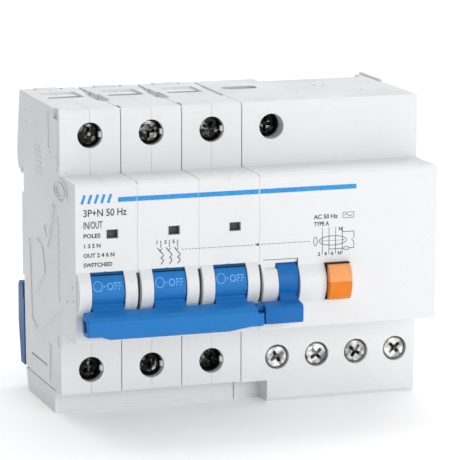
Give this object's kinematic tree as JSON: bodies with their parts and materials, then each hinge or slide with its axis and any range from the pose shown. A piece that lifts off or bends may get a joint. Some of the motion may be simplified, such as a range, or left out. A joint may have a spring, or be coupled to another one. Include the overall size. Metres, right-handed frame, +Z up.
{
  "type": "residual current circuit breaker",
  "caption": "White rail-mounted breaker poles with blue tied toggles and a residual current block with an orange test button.",
  "frame": {"origin": "middle of the foot, in the plane of the bottom faces of the residual current block and of the link cover, at half the overall width and depth", "axes": "+X to the right across the poles, +Y back to the mounting rail, +Z up"},
  "size_m": [0.1078, 0.072, 0.0891],
  "materials": {
    "white_plastic": "moulded white thermoplastic, fine satin texture",
    "toggle_blue": "moulded mid-blue thermoplastic, satin gloss",
    "block_toggle_blue": "moulded darker blue thermoplastic, satin gloss",
    "clip_blue": "moulded deep blue thermoplastic",
    "button_orange": "moulded orange thermoplastic, satin gloss",
    "dark_steel": "black passivated zinc on steel",
    "nickel_steel": "bright nickel plate on steel",
    "copper": "bare copper strip",
    "flag": "dark grey-green plastic with a red band",
    "ferrite": "ferrite core under varnish",
    "board_green": "epoxy board with moulded components"
  },
  "bodies": {
    "housing": {"pole_1_shell_left": "white_plastic", "pole_1_shell_right": "white_plastic", "pole_1_trip_coil": "copper", "pole_1_bimetal": "copper", "pole_1_arc_chute": "nickel_steel", "pole_2_shell_left": "white_plastic", "pole_2_shell_right": "white_plastic", "pole_2_trip_coil": "copper", "pole_2_bimetal": "copper", "pole_2_arc_chute": "nickel_steel", "pole_3_shell_left": "white_plastic", "pole_3_shell_right": "white_plastic", "pole_3_trip_coil": "copper", "pole_3_bimetal": "copper", "pole_3_arc_chute": "nickel_steel", "link_cover": "white_plastic", "block_cover": "white_plastic", "block_base": "white_plastic", "sum_transformer": "ferrite", "trip_unit": "board_green", "neutral_fixed_contact": "copper"},
    "toggle": {"pole_1_handle": "toggle_blue", "pole_2_handle": "toggle_blue", "pole_3_handle": "toggle_blue", "tie_bar": "toggle_blue"},
    "pole_1_line_screw_body": {"pole_1_line_screw": "dark_steel"},
    "pole_1_line_clamp_body": {"pole_1_line_clamp": "nickel_steel"},
    "pole_1_load_screw_body": {"pole_1_load_screw": "dark_steel"},
    "pole_1_load_clamp_body": {"pole_1_load_clamp": "nickel_steel"},
    "pole_1_contact_body": {"pole_1_moving_contact": "copper"},
    "pole_1_flag_body": {"pole_1_position_flag": "flag"},
    "pole_1_clip_body": {"pole_1_rail_clip": "clip_blue"},
    "pole_2_line_screw_body": {"pole_2_line_screw": "dark_steel"},
    "pole_2_line_clamp_body": {"pole_2_line_clamp": "nickel_steel"},
    "pole_2_load_screw_body": {"pole_2_load_screw": "dark_steel"},
    "pole_2_load_clamp_body": {"pole_2_load_clamp": "nickel_steel"},
    "pole_2_contact_body": {"pole_2_moving_contact": "copper"},
    "pole_2_flag_body": {"pole_2_position_flag": "flag"},
    "pole_2_clip_body": {"pole_2_rail_clip": "clip_blue"},
    "pole_3_line_screw_body": {"pole_3_line_screw": "dark_steel"},
    "pole_3_line_clamp_body": {"pole_3_line_clamp": "nickel_steel"},
    "pole_3_load_screw_body": {"pole_3_load_screw": "dark_steel"},
    "pole_3_load_clamp_body": {"pole_3_load_clamp": "nickel_steel"},
    "pole_3_contact_body": {"pole_3_moving_contact": "copper"},
    "pole_3_flag_body": {"pole_3_position_flag": "flag"},
    "pole_3_clip_body": {"pole_3_rail_clip": "clip_blue"},
    "block_toggle": {"block_handle": "block_toggle_blue"},
    "test_button_body": {"test_button": "button_orange"},
    "block_load_1_screw_body": {"block_load_1_screw": "nickel_steel"},
    "block_load_1_clamp_body": {"block_load_1_clamp": "nickel_steel"},
    "block_load_2_screw_body": {"block_load_2_screw": "nickel_steel"},
    "block_load_2_clamp_body": {"block_load_2_clamp": "nickel_steel"},
    "block_load_3_screw_body": {"block_load_3_screw": "nickel_steel"},
    "block_load_3_clamp_body": {"block_load_3_clamp": "nickel_steel"},
    "block_load_4_screw_body": {"block_load_4_screw": "nickel_steel"},
    "block_load_4_clamp_body": {"block_load_4_clamp": "nickel_steel"},
    "neutral_line_screw_body": {"neutral_line_screw": "dark_steel"},
    "neutral_line_clamp_body": {"neutral_line_clamp": "nickel_steel"},
    "neutral_contact_body": {"neutral_moving_contact": "copper"},
    "block_clip_body": {"block_rail_clip": "clip_blue"}
  },
  "joints": [
    {"name": "toggle_turn", "type": "hinge", "parent": "housing", "child": "toggle", "pos_m": [0, -0.0223, 0.0389], "axis": [-1, 0, 0], "range_deg": [0, 66]},
    {"name": "pole_1_line_screw_turn", "type": "hinge", "parent": "housing", "child": "pole_1_line_screw_body", "pos_m": [-0.045, -0.0075, 0.0811], "axis": [0, 1, 0], "range_deg": [0, 2016]},
    {"name": "pole_1_line_clamp_lift", "type": "slide", "parent": "housing", "child": "pole_1_line_clamp_body", "axis": [0, -1, 0], "range_m": [0, 0.00448]},
    {"name": "pole_1_load_screw_turn", "type": "hinge", "parent": "housing", "child": "pole_1_load_screw_body", "pos_m": [-0.045, -0.0075, 0.0137], "axis": [0, 1, 0], "range_deg": [0, 2016]},
    {"name": "pole_1_load_clamp_lift", "type": "slide", "parent": "housing", "child": "pole_1_load_clamp_body", "axis": [0, -1, 0], "range_m": [0, 0.00448]},
    {"name": "pole_1_contact_close", "type": "hinge", "parent": "housing", "child": "pole_1_contact_body", "pos_m": [-0.045, -0.0065, 0.051], "axis": [1, 0, 0], "range_deg": [0, 16]},
    {"name": "pole_1_flag_slide", "type": "slide", "parent": "housing", "child": "pole_1_flag_body", "axis": [0, 0, 1], "range_m": [0, 0.0032]},
    {"name": "pole_1_clip_slide", "type": "slide", "parent": "housing", "child": "pole_1_clip_body", "axis": [0, 0, -1], "range_m": [0, 0.005], "stiffness_N_per_m": 400},
    {"name": "pole_2_line_screw_turn", "type": "hinge", "parent": "housing", "child": "pole_2_line_screw_body", "pos_m": [-0.027, -0.0075, 0.0811], "axis": [0, 1, 0], "range_deg": [0, 2016]},
    {"name": "pole_2_line_clamp_lift", "type": "slide", "parent": "housing", "child": "pole_2_line_clamp_body", "axis": [0, -1, 0], "range_m": [0, 0.00448]},
    {"name": "pole_2_load_screw_turn", "type": "hinge", "parent": "housing", "child": "pole_2_load_screw_body", "pos_m": [-0.027, -0.0075, 0.0137], "axis": [0, 1, 0], "range_deg": [0, 2016]},
    {"name": "pole_2_load_clamp_lift", "type": "slide", "parent": "housing", "child": "pole_2_load_clamp_body", "axis": [0, -1, 0], "range_m": [0, 0.00448]},
    {"name": "pole_2_contact_close", "type": "hinge", "parent": "housing", "child": "pole_2_contact_body", "pos_m": [-0.027, -0.0065, 0.051], "axis": [1, 0, 0], "range_deg": [0, 16]},
    {"name": "pole_2_flag_slide", "type": "slide", "parent": "housing", "child": "pole_2_flag_body", "axis": [0, 0, 1], "range_m": [0, 0.0032]},
    {"name": "pole_2_clip_slide", "type": "slide", "parent": "housing", "child": "pole_2_clip_body", "axis": [0, 0, -1], "range_m": [0, 0.005], "stiffness_N_per_m": 400},
    {"name": "pole_3_line_screw_turn", "type": "hinge", "parent": "housing", "child": "pole_3_line_screw_body", "pos_m": [-0.009, -0.0075, 0.0811], "axis": [0, 1, 0], "range_deg": [0, 2016]},
    {"name": "pole_3_line_clamp_lift", "type": "slide", "parent": "housing", "child": "pole_3_line_clamp_body", "axis": [0, -1, 0], "range_m": [0, 0.00448]},
    {"name": "pole_3_load_screw_turn", "type": "hinge", "parent": "housing", "child": "pole_3_load_screw_body", "pos_m": [-0.009, -0.0075, 0.0137], "axis": [0, 1, 0], "range_deg": [0, 2016]},
    {"name": "pole_3_load_clamp_lift", "type": "slide", "parent": "housing", "child": "pole_3_load_clamp_body", "axis": [0, -1, 0], "range_m": [0, 0.00448]},
    {"name": "pole_3_contact_close", "type": "hinge", "parent": "housing", "child": "pole_3_contact_body", "pos_m": [-0.009, -0.0065, 0.051], "axis": [1, 0, 0], "range_deg": [0, 16]},
    {"name": "pole_3_flag_slide", "type": "slide", "parent": "housing", "child": "pole_3_flag_body", "axis": [0, 0, 1], "range_m": [0, 0.0032]},
    {"name": "pole_3_clip_slide", "type": "slide", "parent": "housing", "child": "pole_3_clip_body", "axis": [0, 0, -1], "range_m": [0, 0.005], "stiffness_N_per_m": 400},
    {"name": "block_toggle_turn", "type": "hinge", "parent": "housing", "child": "block_toggle", "pos_m": [0, -0.0223, 0.0389], "axis": [-1, 0, 0], "range_deg": [0, 66]},
    {"name": "test_button_press", "type": "slide", "parent": "housing", "child": "test_button_body", "axis": [0, 1, 0], "range_m": [0, 0.002], "stiffness_N_per_m": 600},
    {"name": "block_load_1_screw_turn", "type": "hinge", "parent": "housing", "child": "block_load_1_screw_body", "pos_m": [0.0111, -0.0075, 0.0133], "axis": [0, 1, 0], "range_deg": [0, 2016]},
    {"name": "block_load_1_clamp_lift", "type": "slide", "parent": "housing", "child": "block_load_1_clamp_body", "axis": [0, -1, 0], "range_m": [0, 0.00448]},
    {"name": "block_load_2_screw_turn", "type": "hinge", "parent": "housing", "child": "block_load_2_screw_body", "pos_m": [0.0233, -0.0075, 0.0133], "axis": [0, 1, 0], "range_deg": [0, 2016]},
    {"name": "block_load_2_clamp_lift", "type": "slide", "parent": "housing", "child": "block_load_2_clamp_body", "axis": [0, -1, 0], "range_m": [0, 0.00448]},
    {"name": "block_load_3_screw_turn", "type": "hinge", "parent": "housing", "child": "block_load_3_screw_body", "pos_m": [0.0355, -0.0075, 0.0133], "axis": [0, 1, 0], "range_deg": [0, 2016]},
    {"name": "block_load_3_clamp_lift", "type": "slide", "parent": "housing", "child": "block_load_3_clamp_body", "axis": [0, -1, 0], "range_m": [0, 0.00448]},
    {"name": "block_load_4_screw_turn", "type": "hinge", "parent": "housing", "child": "block_load_4_screw_body", "pos_m": [0.0477, -0.0075, 0.0133], "axis": [0, 1, 0], "range_deg": [0, 2016]},
    {"name": "block_load_4_clamp_lift", "type": "slide", "parent": "housing", "child": "block_load_4_clamp_body", "axis": [0, -1, 0], "range_m": [0, 0.00448]},
    {"name": "neutral_line_screw_turn", "type": "hinge", "parent": "housing", "child": "neutral_line_screw_body", "pos_m": [0.009, -0.0075, 0.0811], "axis": [0, 1, 0], "range_deg": [0, 2016]},
    {"name": "neutral_line_clamp_lift", "type": "slide", "parent": "housing", "child": "neutral_line_clamp_body", "axis": [0, -1, 0], "range_m": [0, 0.00448]},
    {"name": "neutral_contact_close", "type": "hinge", "parent": "housing", "child": "neutral_contact_body", "pos_m": [0.009, -0.0065, 0.051], "axis": [1, 0, 0], "range_deg": [0, 16]},
    {"name": "block_clip_slide", "type": "slide", "parent": "housing", "child": "block_clip_body", "axis": [0, 0, -1], "range_m": [0, 0.005], "stiffness_N_per_m": 400}
  ],
  "couplings": [
    {"joint": "pole_1_line_screw_turn", "follows": "pole_1_line_clamp_lift", "rad_per_m": 7854},
    {"joint": "pole_1_load_screw_turn", "follows": "pole_1_load_clamp_lift", "rad_per_m": 7854},
    {"joint": "pole_1_contact_close", "follows": "toggle_turn", "ratio": 0.242},
    {"joint": "pole_1_flag_slide", "follows": "toggle_turn", "m_per_rad": 0.00277},
    {"joint": "pole_2_line_screw_turn", "follows": "pole_2_line_clamp_lift", "rad_per_m": 7854},
    {"joint": "pole_2_load_screw_turn", "follows": "pole_2_load_clamp_lift", "rad_per_m": 7854},
    {"joint": "pole_2_contact_close", "follows": "toggle_turn", "ratio": 0.242},
    {"joint": "pole_2_flag_slide", "follows": "toggle_turn", "m_per_rad": 0.00277},
    {"joint": "pole_3_line_screw_turn", "follows": "pole_3_line_clamp_lift", "rad_per_m": 7854},
    {"joint": "pole_3_load_screw_turn", "follows": "pole_3_load_clamp_lift", "rad_per_m": 7854},
    {"joint": "pole_3_contact_close", "follows": "toggle_turn", "ratio": 0.242},
    {"joint": "pole_3_flag_slide", "follows": "toggle_turn", "m_per_rad": 0.00277},
    {"joint": "block_toggle_turn", "follows": "toggle_turn", "ratio": 1},
    {"joint": "block_load_1_screw_turn", "follows": "block_load_1_clamp_lift", "rad_per_m": 7854},
    {"joint": "block_load_2_screw_turn", "follows": "block_load_2_clamp_lift", "rad_per_m": 7854},
    {"joint": "block_load_3_screw_turn", "follows": "block_load_3_clamp_lift", "rad_per_m": 7854},
    {"joint": "block_load_4_screw_turn", "follows": "block_load_4_clamp_lift", "rad_per_m": 7854},
    {"joint": "neutral_line_screw_turn", "follows": "neutral_line_clamp_lift", "rad_per_m": 7854},
    {"joint": "neutral_contact_close", "follows": "toggle_turn", "ratio": 0.242}
  ]
}
